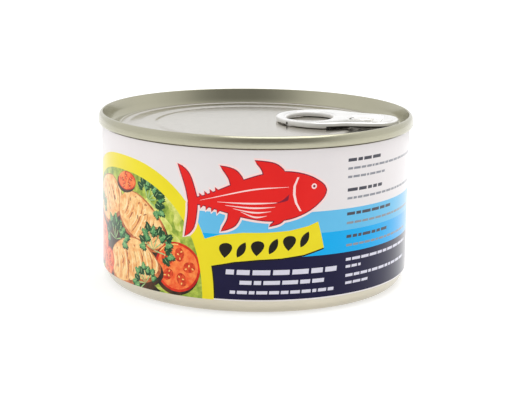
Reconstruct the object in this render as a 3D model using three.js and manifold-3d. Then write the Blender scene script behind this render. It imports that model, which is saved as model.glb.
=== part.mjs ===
// A short round food can with a paper label and an easy-open end with a pull tab.
// Millimetres, +Z up, the origin on the can's axis at the level it stands on.
// The tab's nose points towards +X, and the label's lap is at the back, towards +Y.
import * as THREE from 'three';
import { mergeVertices } from 'three/addons/utils/BufferGeometryUtils.js';
import Module from 'manifold-3d';

// Driving dimensions
const CAN_HEIGHT = 46.5;
const SEAM_RADIUS = 43.65;
const SEAM_HEIGHT = 3.2;
const LABEL_RADIUS = 42.8;
const LABEL_THICKNESS = 0.25;
const LABEL_BOTTOM = 3.7;
const LABEL_LAP = 0.15;
const GAP = 0.3;
const SIDES = 72;

// Body
const LABEL_CLEARANCE = 0.25;
const BODY_RADIUS = LABEL_RADIUS - LABEL_THICKNESS - LABEL_CLEARANCE;
const CORNER_WIDTH = 2.86;
const CORNER_RISE = 5.1;
const STAND_RING_INNER = 37.4;
const BASE_STEP = 0.9;
const BASE_RECESS = 1.3;
const BASE_PANEL_RADIUS = 27;
const BASE_SLOPE_WIDTH = 1.5;
const NECK_CLEARANCE = 0.25;

// Lid: depths are measured down from the top of the seam
const SHEET = 0.6;
const PANEL_DEPTH = 3.6;
const PANEL_RADIUS = 26.3;
const INNER_GROOVE_RADIUS = 28.3;
const INNER_GROOVE_DEPTH = 3.8;
const BAND_INNER_RADIUS = 30.4;
const BAND_OUTER_RADIUS = 33.4;
const BAND_DEPTH = 3.45;
const OUTER_GROOVE_RADIUS = 34.9;
const OUTER_GROOVE_DEPTH = 3.68;
const LAND_INNER_RADIUS = 36.2;
const LAND_RADIUS = 38.3;
const LAND_DEPTH = 3.3;
const COUNTERSINK_DEPTH = 4.5;
const COUNTERSINK_RADIUS = 40.7;
const COUNTERSINK_SLOPE_WIDTH = 0.6;
const SEAM_INNER_RADIUS = 42.3;
const SEAM_BULGE = 0.25;
const SEAM_BULGE_TOP = 0.8;
const SEAM_BULGE_BOTTOM = 2.2;

// Pull tab: u runs from the middle of the ring to the nose, v across
const TAB_X = 18.3;
const TAB_Y = 1.3;
const TAB_TURN = THREE.MathUtils.degToRad(-11.5);
const TAB_THICKNESS = 1.4;
const TAB_TOP_DEPTH = 1.6;
const RING_LENGTH = 12.7;
const RING_HALF_WIDTH = 12.4;
const NOSE_LENGTH = 21.5;
const NOSE_HALF_WIDTH = 8.0;
const NOSE_ROUND = 5.5;
const WAIST_U = 9.5;
const WAIST_HALF_WIDTH = 9.1;
const HOLE_CENTRE = -3.3;
const HOLE_LENGTH = 6.4;
const HOLE_HALF_WIDTH = 8.0;
const EDGE_ROUND = 0.5;
const RIVET_U = 11.8;
const TONGUE_THICKNESS = 0.45;
const TONGUE_HALF_WIDTH = 3.35;
const SLOT_WIDTH = 0.55;
const SLOT_END = 16;
const POCKET_HALF_WIDTH = 4.6;
const POCKET_END = 17.2;
const STEM_RADIUS = 1.5;
const HEAD_RADIUS = 2.9;
const HEAD_THICKNESS = 0.5;

const top = (depth) => CAN_HEIGHT - depth;

// A profile of [radius, height, rounding] corners, with each corner eased by its rounding.
function roundedProfile(corners, steps = 3) {
  const points = [];
  corners.forEach(([r, z, rounding], i) => {
    const corner = new THREE.Vector2(r, z);
    if (!rounding) {
      points.push(corner);
      return;
    }
    const before = new THREE.Vector2(...corners[i - 1]).sub(corner).setLength(rounding).add(corner);
    const after = new THREE.Vector2(...corners[i + 1]).sub(corner).setLength(rounding).add(corner);
    points.push(...new THREE.QuadraticBezierCurve(before, corner, after).getPoints(steps));
  });
  return points;
}

// A turned solid about +Z, from a profile that runs anticlockwise as seen with +Z up.
function turned(points, sides = SIDES) {
  return new THREE.LatheGeometry(points, sides).rotateX(Math.PI / 2);
}

const manifoldLibrary = await Module();
manifoldLibrary.setup();

function toSolid(geometry) {
  const bare = geometry.clone();
  bare.deleteAttribute('normal');
  bare.deleteAttribute('uv');
  const merged = mergeVertices(bare, 1e-4);
  const corners = merged.index.array;
  const triangles = [];
  for (let i = 0; i < corners.length; i += 3) {
    const [a, b, c] = corners.slice(i, i + 3);
    if (a !== b && b !== c && a !== c) triangles.push(a, b, c);
  }
  return new manifoldLibrary.Manifold(new manifoldLibrary.Mesh({
    numProp: 3,
    vertProperties: new Float32Array(merged.attributes.position.array),
    triVerts: new Uint32Array(triangles),
  }));
}

function toGeometry(solid) {
  const mesh = solid.getMesh();
  const geometry = new THREE.BufferGeometry();
  geometry.setAttribute('position', new THREE.BufferAttribute(mesh.vertProperties, 3));
  geometry.setIndex(new THREE.BufferAttribute(mesh.triVerts, 1));
  geometry.computeVertexNormals();
  return geometry;
}

// Body: the closed drawn cup with its contents, solid from the base to just under the lid
function bodyGeometry() {
  const base = roundedProfile([
    [0, BASE_RECESS],
    [BASE_PANEL_RADIUS, BASE_RECESS, 0.5],
    [BASE_PANEL_RADIUS + BASE_SLOPE_WIDTH, BASE_STEP, 0.5],
    [STAND_RING_INNER - BASE_SLOPE_WIDTH, BASE_STEP, 0.5],
    [STAND_RING_INNER, 0],
  ]);
  const corner = new THREE.EllipseCurve(
    BODY_RADIUS - CORNER_WIDTH, CORNER_RISE, CORNER_WIDTH, CORNER_RISE, -Math.PI / 2, 0);
  const underCountersink = top(COUNTERSINK_DEPTH + SHEET + GAP);
  const underPanel = top(PANEL_DEPTH + SHEET + GAP);
  const shoulder = roundedProfile([
    [BODY_RADIUS, top(SEAM_HEIGHT + GAP)],
    [SEAM_INNER_RADIUS - NECK_CLEARANCE, top(SEAM_HEIGHT + GAP)],
    [COUNTERSINK_RADIUS + COUNTERSINK_SLOPE_WIDTH + NECK_CLEARANCE, underCountersink],
    [LAND_RADIUS - COUNTERSINK_SLOPE_WIDTH, underCountersink],
    [LAND_RADIUS - 2 * COUNTERSINK_SLOPE_WIDTH, underPanel],
    [0, underPanel],
  ]);
  return turned([...base, ...corner.getPoints(5), ...shoulder]);
}

// Lid: panel with beads, countersink, chuck wall and double seam, with the rivet drawn up from it
function lidGeometry() {
  const underside = [
    [0, top(PANEL_DEPTH + SHEET)],
    [LAND_RADIUS - COUNTERSINK_SLOPE_WIDTH, top(PANEL_DEPTH + SHEET)],
    [LAND_RADIUS, top(COUNTERSINK_DEPTH + SHEET)],
    [COUNTERSINK_RADIUS + COUNTERSINK_SLOPE_WIDTH, top(COUNTERSINK_DEPTH + SHEET)],
    [SEAM_INNER_RADIUS - COUNTERSINK_SLOPE_WIDTH, top(SEAM_HEIGHT)],
  ];
  const seam = [
    [SEAM_RADIUS - SEAM_BULGE, top(SEAM_HEIGHT), 0.35],
    [SEAM_RADIUS, top(SEAM_BULGE_BOTTOM), 0.4],
    [SEAM_RADIUS, top(SEAM_BULGE_TOP), 0.4],
    [SEAM_RADIUS - SEAM_BULGE, CAN_HEIGHT, 0.4],
    [SEAM_INNER_RADIUS + SEAM_BULGE / 2, CAN_HEIGHT, 0.35],
  ];
  const upperFace = [
    [COUNTERSINK_RADIUS, top(COUNTERSINK_DEPTH), 0.4],
    [LAND_RADIUS + COUNTERSINK_SLOPE_WIDTH, top(COUNTERSINK_DEPTH), 0.4],
    [LAND_RADIUS, top(LAND_DEPTH), 0.4],
    [LAND_INNER_RADIUS, top(LAND_DEPTH), 0.4],
    [OUTER_GROOVE_RADIUS, top(OUTER_GROOVE_DEPTH), 0.5],
    [BAND_OUTER_RADIUS, top(BAND_DEPTH), 0.5],
    [BAND_INNER_RADIUS, top(BAND_DEPTH), 0.5],
    [INNER_GROOVE_RADIUS, top(INNER_GROOVE_DEPTH), 0.6],
    [PANEL_RADIUS, top(PANEL_DEPTH), 0.5],
    [0, top(PANEL_DEPTH)],
  ];
  const end = toSolid(turned(roundedProfile([...underside, ...seam, ...upperFace], 2)));
  return toGeometry(end.add(toSolid(rivetGeometry())));
}

// Rivet: a boss under the tab's tongue, a stem through it and a flat head over it
function rivetGeometry() {
  const tongueBottom = top(TAB_TOP_DEPTH + TAB_THICKNESS);
  const headBottom = tongueBottom + TONGUE_THICKNESS + GAP;
  const rivet = turned(roundedProfile([
    [0, top(PANEL_DEPTH)],
    [HEAD_RADIUS, top(PANEL_DEPTH)],
    [HEAD_RADIUS, tongueBottom - GAP],
    [STEM_RADIUS, tongueBottom - GAP],
    [STEM_RADIUS, headBottom],
    [HEAD_RADIUS, headBottom],
    [HEAD_RADIUS, headBottom + HEAD_THICKNESS, 0.3],
    [0, headBottom + HEAD_THICKNESS],
  ]), 24);
  return rivet.translate(
    TAB_X + RIVET_U * Math.cos(TAB_TURN), TAB_Y + RIVET_U * Math.sin(TAB_TURN), 0);
}

// Half of the tab's outline, from the ring's end to the tip of the nose, on the side v = side
function tabSide(shape, side) {
  const quarter = 0.5523;
  const wide = side * RING_HALF_WIDTH;
  const waist = side * WAIST_HALF_WIDTH;
  const nose = side * NOSE_HALF_WIDTH;
  shape.bezierCurveTo(-RING_LENGTH, wide * quarter, -RING_LENGTH * quarter, wide, 0, wide);
  shape.bezierCurveTo(WAIST_U / 3, wide, WAIST_U * 2 / 3, waist * 1.04, WAIST_U, waist);
  shape.lineTo(NOSE_LENGTH - NOSE_ROUND, nose);
  shape.bezierCurveTo(NOSE_LENGTH - NOSE_ROUND / 3, nose * 0.9, NOSE_LENGTH, nose * quarter, NOSE_LENGTH, 0);
}

function tabOutline() {
  const near = new THREE.Shape().moveTo(-RING_LENGTH, 0);
  tabSide(near, -1);
  const far = new THREE.Shape().moveTo(-RING_LENGTH, 0);
  tabSide(far, 1);
  const outline = new THREE.Shape([...near.getPoints(8), ...far.getPoints(8).reverse().slice(1, -1)]);
  const hole = new THREE.Path().absellipse(
    HOLE_CENTRE, 0, HOLE_LENGTH, HOLE_HALF_WIDTH, 0, 2 * Math.PI, true);
  outline.holes.push(new THREE.Path(hole.getPoints(28).slice(0, -1)));
  return outline;
}

// A U round the rivet, closed towards the ring, of the given half width
function uShape(shape, halfWidth, openEnd, back) {
  const turn = back ? [1.5 * Math.PI, 0.5 * Math.PI, true] : [0.5 * Math.PI, 1.5 * Math.PI, false];
  const side = back ? -1 : 1;
  shape.lineTo(openEnd, side * halfWidth);
  shape.absarc(RIVET_U, 0, halfWidth, ...turn);
  shape.lineTo(openEnd, -side * halfWidth);
}

function extruded(shape, depth, z) {
  return new THREE.ExtrudeGeometry(shape, { depth, bevelEnabled: false, curveSegments: 10 }).translate(0, 0, z);
}

function tabGeometry() {
  const plate = new THREE.ExtrudeGeometry(tabOutline(), {
    depth: TAB_THICKNESS - 2 * EDGE_ROUND,
    bevelThickness: EDGE_ROUND,
    bevelSize: EDGE_ROUND,
    bevelOffset: -EDGE_ROUND,
    bevelSegments: 2,
  }).translate(0, 0, EDGE_ROUND);

  const slot = new THREE.Shape().moveTo(SLOT_END, TONGUE_HALF_WIDTH + SLOT_WIDTH);
  uShape(slot, TONGUE_HALF_WIDTH + SLOT_WIDTH, SLOT_END, false);
  uShape(slot, TONGUE_HALF_WIDTH, SLOT_END, true);

  const pocket = new THREE.Shape().moveTo(POCKET_END, POCKET_HALF_WIDTH);
  uShape(pocket, POCKET_HALF_WIDTH, POCKET_END, false);

  const rivetHole = new THREE.Shape().absarc(RIVET_U, 0, STEM_RADIUS + GAP, 0, 2 * Math.PI);
  const tab = toSolid(plate)
    .subtract(toSolid(extruded(pocket, TAB_THICKNESS, TONGUE_THICKNESS)))
    .subtract(toSolid(extruded(slot, 3 * TAB_THICKNESS, -TAB_THICKNESS)))
    .subtract(toSolid(extruded(rivetHole, 3 * TAB_THICKNESS, -TAB_THICKNESS)));
  return toGeometry(tab);
}

// Label: a paper band round the wall, thicker where its ends lap at the back
function labelGeometry() {
  const step = 2 * Math.PI / SIDES;
  const lapSides = 2;
  const lapRadius = LABEL_RADIUS + LABEL_LAP;
  const start = Math.PI / 2 - step;
  const at = (radius, side) => new THREE.Vector2(
    radius * Math.cos(start + side * step), radius * Math.sin(start + side * step));
  const sides = [...Array(SIDES).keys()];
  const lap = sides.slice(0, lapSides + 1).map((side) => at(lapRadius, side));
  const rest = [...sides.slice(lapSides), SIDES].map((side) => at(LABEL_RADIUS, side));
  const band = new THREE.Shape([...lap, ...rest]);
  band.holes.push(new THREE.Path(sides.map((side) => at(LABEL_RADIUS - LABEL_THICKNESS, -side))));
  const height = top(SEAM_HEIGHT + GAP) - LABEL_BOTTOM;
  return new THREE.ExtrudeGeometry(band, { depth: height, bevelEnabled: false }).translate(0, 0, LABEL_BOTTOM);
}

function piece(name, geometry, color, roughness, metalness) {
  const mesh = new THREE.Mesh(geometry, new THREE.MeshStandardMaterial({ color, roughness, metalness }));
  mesh.name = name;
  return mesh;
}

const can = new THREE.Group();
can.add(piece('can_body', bodyGeometry(), 0xc8c2b0, 0.35, 0.9));
can.add(piece('lid', lidGeometry(), 0xb9b49c, 0.35, 0.9));
can.add(piece('label', labelGeometry(), 0xf0ece8, 0.45, 0));

const tab = piece('pull_tab', tabGeometry(), 0xeeedeb, 0.3, 0.9);
tab.position.set(TAB_X, TAB_Y, top(TAB_TOP_DEPTH + TAB_THICKNESS));
tab.rotation.z = TAB_TURN;
can.add(tab);

export default can;
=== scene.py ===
import math
import random

import bmesh
import bpy
import numpy as np
from mathutils import Matrix, Vector
from mathutils.geometry import delaunay_2d_cdt


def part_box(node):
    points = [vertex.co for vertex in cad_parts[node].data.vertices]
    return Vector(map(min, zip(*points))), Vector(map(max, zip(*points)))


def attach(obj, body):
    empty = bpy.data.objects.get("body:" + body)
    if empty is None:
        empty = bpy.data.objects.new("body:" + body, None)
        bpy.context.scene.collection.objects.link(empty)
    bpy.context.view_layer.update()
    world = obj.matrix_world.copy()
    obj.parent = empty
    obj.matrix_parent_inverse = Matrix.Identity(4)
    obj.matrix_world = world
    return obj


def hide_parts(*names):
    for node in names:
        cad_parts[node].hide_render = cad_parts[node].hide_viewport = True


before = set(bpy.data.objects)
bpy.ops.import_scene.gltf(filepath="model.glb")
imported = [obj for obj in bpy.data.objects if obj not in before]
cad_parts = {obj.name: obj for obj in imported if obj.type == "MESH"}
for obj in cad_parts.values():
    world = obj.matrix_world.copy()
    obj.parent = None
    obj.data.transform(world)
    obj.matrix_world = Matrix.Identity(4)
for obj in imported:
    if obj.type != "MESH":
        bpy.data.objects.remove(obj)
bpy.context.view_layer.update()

# Studio: a white table lit from below, a white tent with a softbox in its roof, and a dark opening
# in the tent where the camera stands. That opening shades the front of the rim and, mirrored, the
# back of the lid's wall.
MM = 0.001
CAN_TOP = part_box("lid")[1][2] / MM
SEAM_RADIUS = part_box("lid")[1][0] / MM

AIM_HEIGHT = 20 * MM
CAMERA_DISTANCE = 409.84 * MM
CAMERA_ELEVATION = math.radians(12.556)
CAMERA_DIP = math.radians(12.437)
CAMERA_TURN = math.radians(0.047)
CAMERA_ROLL = math.radians(0.793)
FOCAL_PIXELS = 1453.56
PICTURE_WIDTH = 512
SENSOR_WIDTH = 36
NEAREST = 10 * MM


def add_object(name, data):
    """A new object in the scene."""
    thing = bpy.data.objects.new(name, data)
    bpy.context.collection.objects.link(thing)
    return thing


camera_data = bpy.data.cameras.new("camera")
camera_data.sensor_width = SENSOR_WIDTH
camera_data.lens = FOCAL_PIXELS * SENSOR_WIDTH / PICTURE_WIDTH
camera_data.clip_start = NEAREST
camera = add_object("camera", camera_data)
ahead = Vector((
    math.sin(CAMERA_TURN) * math.cos(CAMERA_DIP),
    math.cos(CAMERA_TURN) * math.cos(CAMERA_DIP),
    -math.sin(CAMERA_DIP)))
level_right = ahead.cross(Vector((0, 0, 1))).normalized()
level_up = level_right.cross(ahead)
right = level_right * math.cos(CAMERA_ROLL) + level_up * math.sin(CAMERA_ROLL)
up = level_up * math.cos(CAMERA_ROLL) - level_right * math.sin(CAMERA_ROLL)
turned_to_aim = Matrix((right, up, -ahead)).transposed().to_4x4()
camera_place = Vector((
    0,
    -CAMERA_DISTANCE * math.cos(CAMERA_ELEVATION),
    CAMERA_DISTANCE * math.sin(CAMERA_ELEVATION) + AIM_HEIGHT))
camera.matrix_world = Matrix.Translation(camera_place) @ turned_to_aim
bpy.context.scene.camera = camera
bpy.context.scene.view_settings.view_transform = "Standard"

FLOOR_SIZE = 6
FLOOR_TONE = 0.65
FLOOR_GLOW = 0.5


def new_finish(name):
    """A material, with its node tree and its shader."""
    finish = bpy.data.materials.new(name)
    finish.use_nodes = True
    return finish, finish.node_tree, finish.node_tree.nodes["Principled BSDF"]


def set_inputs(node, **values):
    """Sets a node's inputs by name, with _ written for a space."""
    for name, value in values.items():
        node.inputs[name.replace("_", " ")].default_value = value


floor_mesh = bpy.data.meshes.new("floor")
half = FLOOR_SIZE / 2
floor_mesh.from_pydata(
    [(-half, -half, 0), (half, -half, 0), (half, half, 0), (-half, half, 0)], [], [(0, 1, 2, 3)])
floor = add_object("floor", floor_mesh)
floor_paint, _, floor_shader = new_finish("floor_paint")
set_inputs(
    floor_shader, Base_Color=(FLOOR_TONE, FLOOR_TONE, FLOOR_TONE, 1), Roughness=0.9,
    Specular_IOR_Level=0.1, Emission_Color=(1, 1, 1, 1), Emission_Strength=FLOOR_GLOW)
floor_mesh.materials.append(floor_paint)

TENT_BRIGHTNESS = 1.04
TENT_TONES = [
    (0.3, (1, 1, 1, 1)), (0.64, (0.8, 0.8, 0.79, 1)), (0.89, (0.4, 0.4, 0.39, 1)),
    (0.975, (0.3, 0.3, 0.29, 1))]
OPENING_HEIGHT = math.radians(18)
OPENING_TURN = math.radians(12.5)


def add_node(tree, kind, **values):
    """A new shader node with its inputs set."""
    node = tree.nodes.new("ShaderNode" + kind)
    set_inputs(node, **values)
    return node


def wire(source, output, target, entry):
    """Links an output of one node to an input of another."""
    source.id_data.links.new(source.outputs[output], target.inputs[entry])


def set_stops(ramp, stops):
    """Gives a colour ramp the stops (place, colour)."""
    elements = ramp.color_ramp.elements
    while len(elements) < len(stops):
        elements.new(0.5)
    for element, (place, tint) in zip(elements, stops):
        element.position = place
        element.color = tint


world = bpy.data.worlds.new("tent")
bpy.context.scene.world = world
world.use_nodes = True
tent = world.node_tree
looking = add_node(tent, "TexCoord")
toward_opening = add_node(tent, "VectorMath")
toward_opening.operation = "DOT_PRODUCT"
toward_opening.inputs[1].default_value = (
    math.sin(OPENING_TURN) * math.cos(OPENING_HEIGHT),
    -math.cos(OPENING_TURN) * math.cos(OPENING_HEIGHT),
    math.sin(OPENING_HEIGHT))
tent_tone = add_node(tent, "ValToRGB")
set_stops(tent_tone, TENT_TONES)
wire(looking, "Generated", toward_opening, 0)
wire(toward_opening, "Value", tent_tone, "Fac")
wire(tent_tone, "Color", tent.nodes["Background"], "Color")
set_inputs(tent.nodes["Background"], Strength=TENT_BRIGHTNESS)

SOFTBOX_SIZE = 0.9
SOFTBOX_POWER = 5
SOFTBOX_PLACE = (0.2, 0.1, 1.1)
softbox_data = bpy.data.lights.new("overhead_softbox", "AREA")
softbox_data.shape = "SQUARE"
softbox_data.size = SOFTBOX_SIZE
softbox_data.energy = SOFTBOX_POWER
softbox = add_object("overhead_softbox", softbox_data)
softbox.location = SOFTBOX_PLACE
softbox.rotation_euler = (0, math.atan2(SOFTBOX_PLACE[0], SOFTBOX_PLACE[2]), 0)


# Can body: a cup drawn from lacquered steel in one piece, so it has a rounded bottom corner and no
# bottom seam. Its base is pressed into a ring to stand on and two stepped panels that let it give
# in the cooker. The fish inside is sealed in, so the cup is closed under the lid.
BODY_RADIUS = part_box("can_body")[1][0] / MM
CORNER_WIDTH = 2.86
CORNER_RISE = 5.1
CORNER_STEPS = 20
STAND_RING_INNER = 37.4
STAND_RING_SLOPE = 1.5
BASE_RECESS = 1.3
BASE_STEP = 0.9
BASE_STEP_WIDTH = 1.6
BASE_PANEL_RADIUS = 27
SEAM_HEIGHT = 3.0
NECK_STEP = 0.35
NECK_SLOPE = 0.2
NECK_DROP = 0.55
WALL_SHEET = 0.2
SEAL_DEPTH = 5.6
FIT = 0.05
BODY_SIDES = 256


def eased(corners, steps=6):
    """A profile through (radius, height, easing) corners in millimetres, each rounded off."""
    points = []
    for i, (radius, height, easing) in enumerate(corners):
        corner = Vector((radius, height))
        if not easing:
            points.append(corner)
            continue
        start = corner + (Vector(corners[i - 1][:2]) - corner).normalized() * easing
        stop = corner + (Vector(corners[i + 1][:2]) - corner).normalized() * easing
        for k in range(steps + 1):
            t = k / steps
            points.append(start * (1 - t) ** 2 + corner * 2 * t * (1 - t) + stop * t * t)
    return points


def turning_tree():
    """Geometry Nodes that turn a flat profile about the axis, as a metal spinner's lathe does."""
    tree = bpy.data.node_groups.new("turned_sheet", "GeometryNodeTree")
    for name, kind in (
            ("Profile", "Geometry"), ("Sides", "Int"), ("Path Radius", "Float"), ("Metal", "Material")):
        tree.interface.new_socket(name, in_out="INPUT", socket_type="NodeSocket" + kind)
    tree.interface.new_socket("Turned", in_out="OUTPUT", socket_type="NodeSocketGeometry")
    given = tree.nodes.new("NodeGroupInput")
    made = tree.nodes.new("NodeGroupOutput")
    profile = tree.nodes.new("GeometryNodeMeshToCurve")
    circle = tree.nodes.new("GeometryNodeCurvePrimitiveCircle")
    upright = tree.nodes.new("GeometryNodeSetCurveNormal")
    upright.mode = "Z_UP"
    sweep = tree.nodes.new("GeometryNodeCurveToMesh")
    join = tree.nodes.new("GeometryNodeMergeByDistance")
    set_inputs(join, Distance=0.001 * MM)
    realize = tree.nodes.new("GeometryNodeRealizeInstances")
    finish = tree.nodes.new("GeometryNodeSetMaterial")
    wire(given, "Profile", profile, "Mesh")
    wire(given, "Sides", circle, "Resolution")
    wire(given, "Path Radius", circle, "Radius")
    wire(circle, "Curve", upright, "Curve")
    wire(upright, "Curve", sweep, "Curve")
    wire(profile, "Curve", sweep, "Profile Curve")
    wire(sweep, "Mesh", join, "Geometry")
    wire(join, "Geometry", realize, "Geometry")
    wire(realize, "Geometry", finish, "Geometry")
    wire(given, "Metal", finish, "Material")
    wire(finish, "Geometry", made, "Turned")
    return tree


TURNING = turning_tree()
TURNING_INPUTS = {
    item.name: item.identifier for item in TURNING.interface.items_tree if item.in_out == "INPUT"}
PATH_RADIUS = 10


def turned(name, profile, sides, metal, place=(0, 0)):
    """A turned piece from its profile in millimetres, which runs from the axis to the axis."""
    flat = bpy.data.meshes.new(name + "_profile")
    flat.from_pydata(
        [((point[0] - PATH_RADIUS) * MM, -point[1] * MM, 0) for point in profile],
        [(i, i + 1) for i in range(len(profile) - 1)], [])
    lathe = add_object(name + "_profile", flat)
    spin = lathe.modifiers.new("turned", "NODES")
    spin.node_group = TURNING
    spin[TURNING_INPUTS["Sides"]] = sides
    spin[TURNING_INPUTS["Path Radius"]] = PATH_RADIUS * MM
    spin[TURNING_INPUTS["Metal"]] = metal
    finished = lathe.evaluated_get(bpy.context.evaluated_depsgraph_get())
    mesh = bpy.data.meshes.new_from_object(finished)
    bpy.data.objects.remove(lathe)
    mesh.name = name
    mesh.transform(Matrix.Translation((place[0] * MM, place[1] * MM, 0)))
    outwards(mesh)
    return add_object(name, mesh)


def outwards(mesh, sharp=40):
    """Turns a closed mesh's faces outwards and shades it smooth up to the sharp angle."""
    solid = bmesh.new()
    solid.from_mesh(mesh)
    bmesh.ops.recalc_face_normals(solid, faces=solid.faces)
    solid.to_mesh(mesh)
    solid.free()
    mesh.shade_smooth()
    mesh.set_sharp_from_angle(angle=math.radians(sharp))


def colour(red, green, blue):
    """A colour given as it looks on a screen, 0 to 255, as the linear numbers that shaders use."""
    parts = [value / 255 for value in (red, green, blue)]
    return tuple(v / 12.92 if v < 0.04045 else ((v + 0.055) / 1.055) ** 2.4 for v in parts) + (1,)


def darker(tone, share):
    """A colour with its brightness cut to a share."""
    return tuple(c * share for c in tone[:3]) + (1,)


def add_noise(source, output, scale, detail=2):
    """A noise over the coordinates that a node gives."""
    noise = add_node(source.id_data, "TexNoise", Scale=scale, Detail=detail)
    wire(source, output, noise, "Vector")
    return noise


def lacquered_steel(name, tone, roughness, speckle=0.2, panel_tone=None, panel_edge=0, edge_blur=0):
    """Steel under a thin gold-grey lacquer, with fine drawing lines and a speckle like orange peel.

    With a panel tone, the metal within the panel's edge has that tone, softly mottled.
    """
    metal, tree, shader = new_finish(name)
    set_inputs(shader, Metallic=1, Coat_Weight=0.4, Coat_Roughness=0.07)
    place = add_node(tree, "TexCoord")
    drawn = add_node(tree, "Mapping", Scale=(900, 900, 60))
    grain = add_noise(drawn, "Vector", 1, 3)
    cloud = add_noise(place, "Object", 70, 4)
    peel = add_noise(place, "Object", 1300)
    tint = add_node(tree, "ValToRGB")
    set_stops(tint, [(0.3, darker(tone, 0.92)), (0.7, tone)])
    gloss = add_node(tree, "MapRange", To_Min=roughness * 0.85, To_Max=roughness * 1.2)
    lines = add_node(tree, "Bump", Strength=0.1, Distance=0.02 * MM)
    relief = add_node(tree, "Bump", Strength=speckle, Distance=0.02 * MM)
    wire(place, "Object", drawn, "Vector")
    wire(cloud, "Fac", tint, "Fac")
    wire(grain, "Fac", gloss, "Value")
    wire(gloss, "Result", shader, "Roughness")
    wire(grain, "Fac", lines, "Height")
    wire(lines, "Normal", relief, "Normal")
    wire(peel, "Fac", relief, "Height")
    wire(relief, "Normal", shader, "Normal")
    wire(relief, "Normal", shader, "Coat Normal")
    if panel_tone is None:
        wire(tint, "Color", shader, "Base Color")
        return metal
    flat = add_node(tree, "VectorMath")
    flat.operation = "MULTIPLY"
    flat.inputs[1].default_value = (1, 1, 0)
    reach = add_node(tree, "VectorMath")
    reach.operation = "LENGTH"
    edge = add_node(
        tree, "MapRange", From_Min=(panel_edge - edge_blur) * MM, From_Max=(panel_edge + edge_blur) * MM)
    edge.interpolation_type = "SMOOTHSTEP"
    blend = add_node(tree, "Mix")
    blend.data_type = "RGBA"
    mottle = add_noise(place, "Object", 420, 5)
    silver = add_node(tree, "ValToRGB")
    set_stops(silver, [(0.35, darker(panel_tone, 0.93)), (0.6, panel_tone)])
    wire(mottle, "Fac", silver, "Fac")
    wire(silver, "Color", blend, "A")
    wire(place, "Object", flat, 0)
    wire(flat, "Vector", reach, 0)
    wire(reach, "Value", edge, "Value")
    wire(edge, "Result", blend, "Factor")
    wire(tint, "Color", blend, "B")
    wire(blend, "Result", shader, "Base Color")
    return metal


body_steel = lacquered_steel("body_steel", colour(212, 205, 186), 0.3)
base_profile = eased([
    (0, BASE_RECESS, 0),
    (BASE_PANEL_RADIUS, BASE_RECESS, 0.7),
    (BASE_PANEL_RADIUS + BASE_STEP_WIDTH, BASE_STEP, 0.7),
    (STAND_RING_INNER - STAND_RING_SLOPE, BASE_STEP, 0.8),
    (STAND_RING_INNER, 0, 0.4),
    (BODY_RADIUS - CORNER_WIDTH, 0, 0)])
corner_profile = []
for k in range(1, CORNER_STEPS + 1):
    a = math.pi / 2 * k / CORNER_STEPS
    corner_profile.append(Vector((
        BODY_RADIUS - CORNER_WIDTH + CORNER_WIDTH * math.sin(a), CORNER_RISE - CORNER_RISE * math.cos(a))))
neck_radius = BODY_RADIUS - NECK_STEP
neck_bottom = CAN_TOP - SEAM_HEIGHT - NECK_DROP
neck_top = CAN_TOP - SEAM_HEIGHT - FIT
seal_height = CAN_TOP - SEAL_DEPTH
shoulder_profile = [Vector(corner) for corner in (
    (BODY_RADIUS, neck_bottom), (neck_radius, neck_bottom + NECK_SLOPE), (neck_radius, neck_top),
    (neck_radius - WALL_SHEET, neck_top), (neck_radius - WALL_SHEET, seal_height), (0, seal_height))]
can_body = turned(
    "drawn_cup", base_profile + corner_profile + shoulder_profile, BODY_SIDES, body_steel)
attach(can_body, "root")
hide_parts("can_body")


# Lid: an easy-open end stamped from the same steel, lacquered gold-grey at its rim and polished
# silver on the panel. It is rolled over the cup's flange into the double seam. From the seam the
# chuck wall drops into a countersink, and inside that lie the score that tears and two grooves.
CHUCK_WALL_TOP = 42.3
COUNTERSINK_RADIUS = 40.7
COUNTERSINK_DEPTH = 4.5
LAND_RADIUS = 38.3
LAND_INNER_RADIUS = 36.2
LAND_DEPTH = 3.3
SCORE_RADIUS = 37.3
OUTER_GROOVE_RADIUS = 35.2
OUTER_GROOVE_DEPTH = 3.52
BAND_OUTER_RADIUS = 33.6
BAND_INNER_RADIUS = 31.6
BAND_OUTER_DEPTH = 3.44
BAND_INNER_DEPTH = 3.36
INNER_GROOVE_RADIUS = 28.4
INNER_GROOVE_DEPTH = 3.58
PANEL_RADIUS = 27.0
PANEL_DEPTH = 3.28
SHEET = 0.45
SCORE_HALF_WIDTH = 0.22
SCORE_DEPTH = 0.09
SILVER_EDGE = 37.2
SILVER_BLUR = 1.2

# Corners of the sheet are (radius, depth below the rim, easing), from the middle of its underside
# out to the seam's hooked foot, up over the crest and back in to the middle of the panel
lid_underside = [
    (0, PANEL_DEPTH + SHEET, 0),
    (LAND_RADIUS - 0.7, PANEL_DEPTH + SHEET, 0.3),
    (LAND_RADIUS - 0.1, COUNTERSINK_DEPTH + SHEET, 0.3),
    (COUNTERSINK_RADIUS + 0.35, COUNTERSINK_DEPTH + SHEET, 0.2),
    (COUNTERSINK_RADIUS + 0.9, COUNTERSINK_DEPTH - 0.2, 0.2),
    (CHUCK_WALL_TOP - 0.42, SEAM_HEIGHT, 0.1)]
seam_foot = [
    (BODY_RADIUS + 0.1, SEAM_HEIGHT, 0.1),
    (BODY_RADIUS + 0.25, SEAM_HEIGHT - 0.5, 0.1),
    (SEAM_RADIUS - 0.55, SEAM_HEIGHT - 0.45, 0.1),
    (SEAM_RADIUS - 0.35, SEAM_HEIGHT, 0.12),
    (SEAM_RADIUS - 0.1, SEAM_HEIGHT, 0.12),
    (SEAM_RADIUS, SEAM_HEIGHT - 0.5, 0.3)]
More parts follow.
